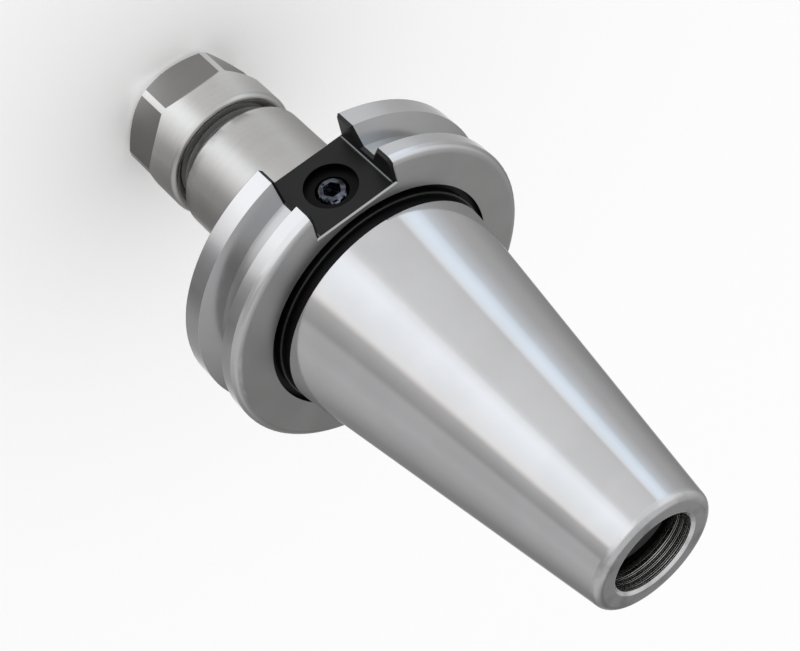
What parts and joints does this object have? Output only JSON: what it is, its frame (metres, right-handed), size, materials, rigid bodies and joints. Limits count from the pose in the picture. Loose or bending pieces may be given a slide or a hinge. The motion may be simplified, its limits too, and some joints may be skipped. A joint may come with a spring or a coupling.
{
  "type": "collet chuck holder",
  "caption": "Collet chuck with a steep taper shank, grooved drive flange, long neck, spring collet and hexagonal clamping nut, to hold a round cutting tool in a milling spindle.",
  "frame": {"origin": "centre of the gauge line, where the shank's taper measures 44.45 mm across; the part stands on the nut's front face at z = -66.5 mm", "axes": "+Z along the axis to the small end of the taper, +Y out through the drive slot that holds the set screw, +X across the slots"},
  "size_m": [0.0636, 0.061, 0.1348],
  "materials": {
    "ground_steel": "ground taper, fine turned flange and neck",
    "nut_steel": "satin, milled flats",
    "collet_steel": "fine ground spring steel",
    "black_screw": "black oxide"
  },
  "bodies": {
    "body": {"chuck_body": "ground_steel", "set_screw": "black_screw"},
    "collet": {"collet": "collet_steel"},
    "nut": {"clamping_nut": "nut_steel"},
    "stop_screw": {"stop_screw": "black_screw"}
  },
  "joints": [
    {"name": "collet_slide", "type": "slide", "parent": "body", "child": "collet", "axis": [0, 0, -1], "range_m": [0, 0.0075]},
    {"name": "nut_turn", "type": "hinge", "parent": "collet", "child": "nut", "pos_m": [0, 0, -0.0578], "axis": [0, 0, -1], "range_deg": [0, 1800]},
    {"name": "stop_screw_slide", "type": "slide", "parent": "body", "child": "stop_screw", "axis": [0, 0, 1], "range_m": [-0.006, 0.006]}
  ],
  "couplings": [
    {"joint": "collet_slide", "follows": "nut_turn", "m_per_rad": 0.00023873}
  ]
}
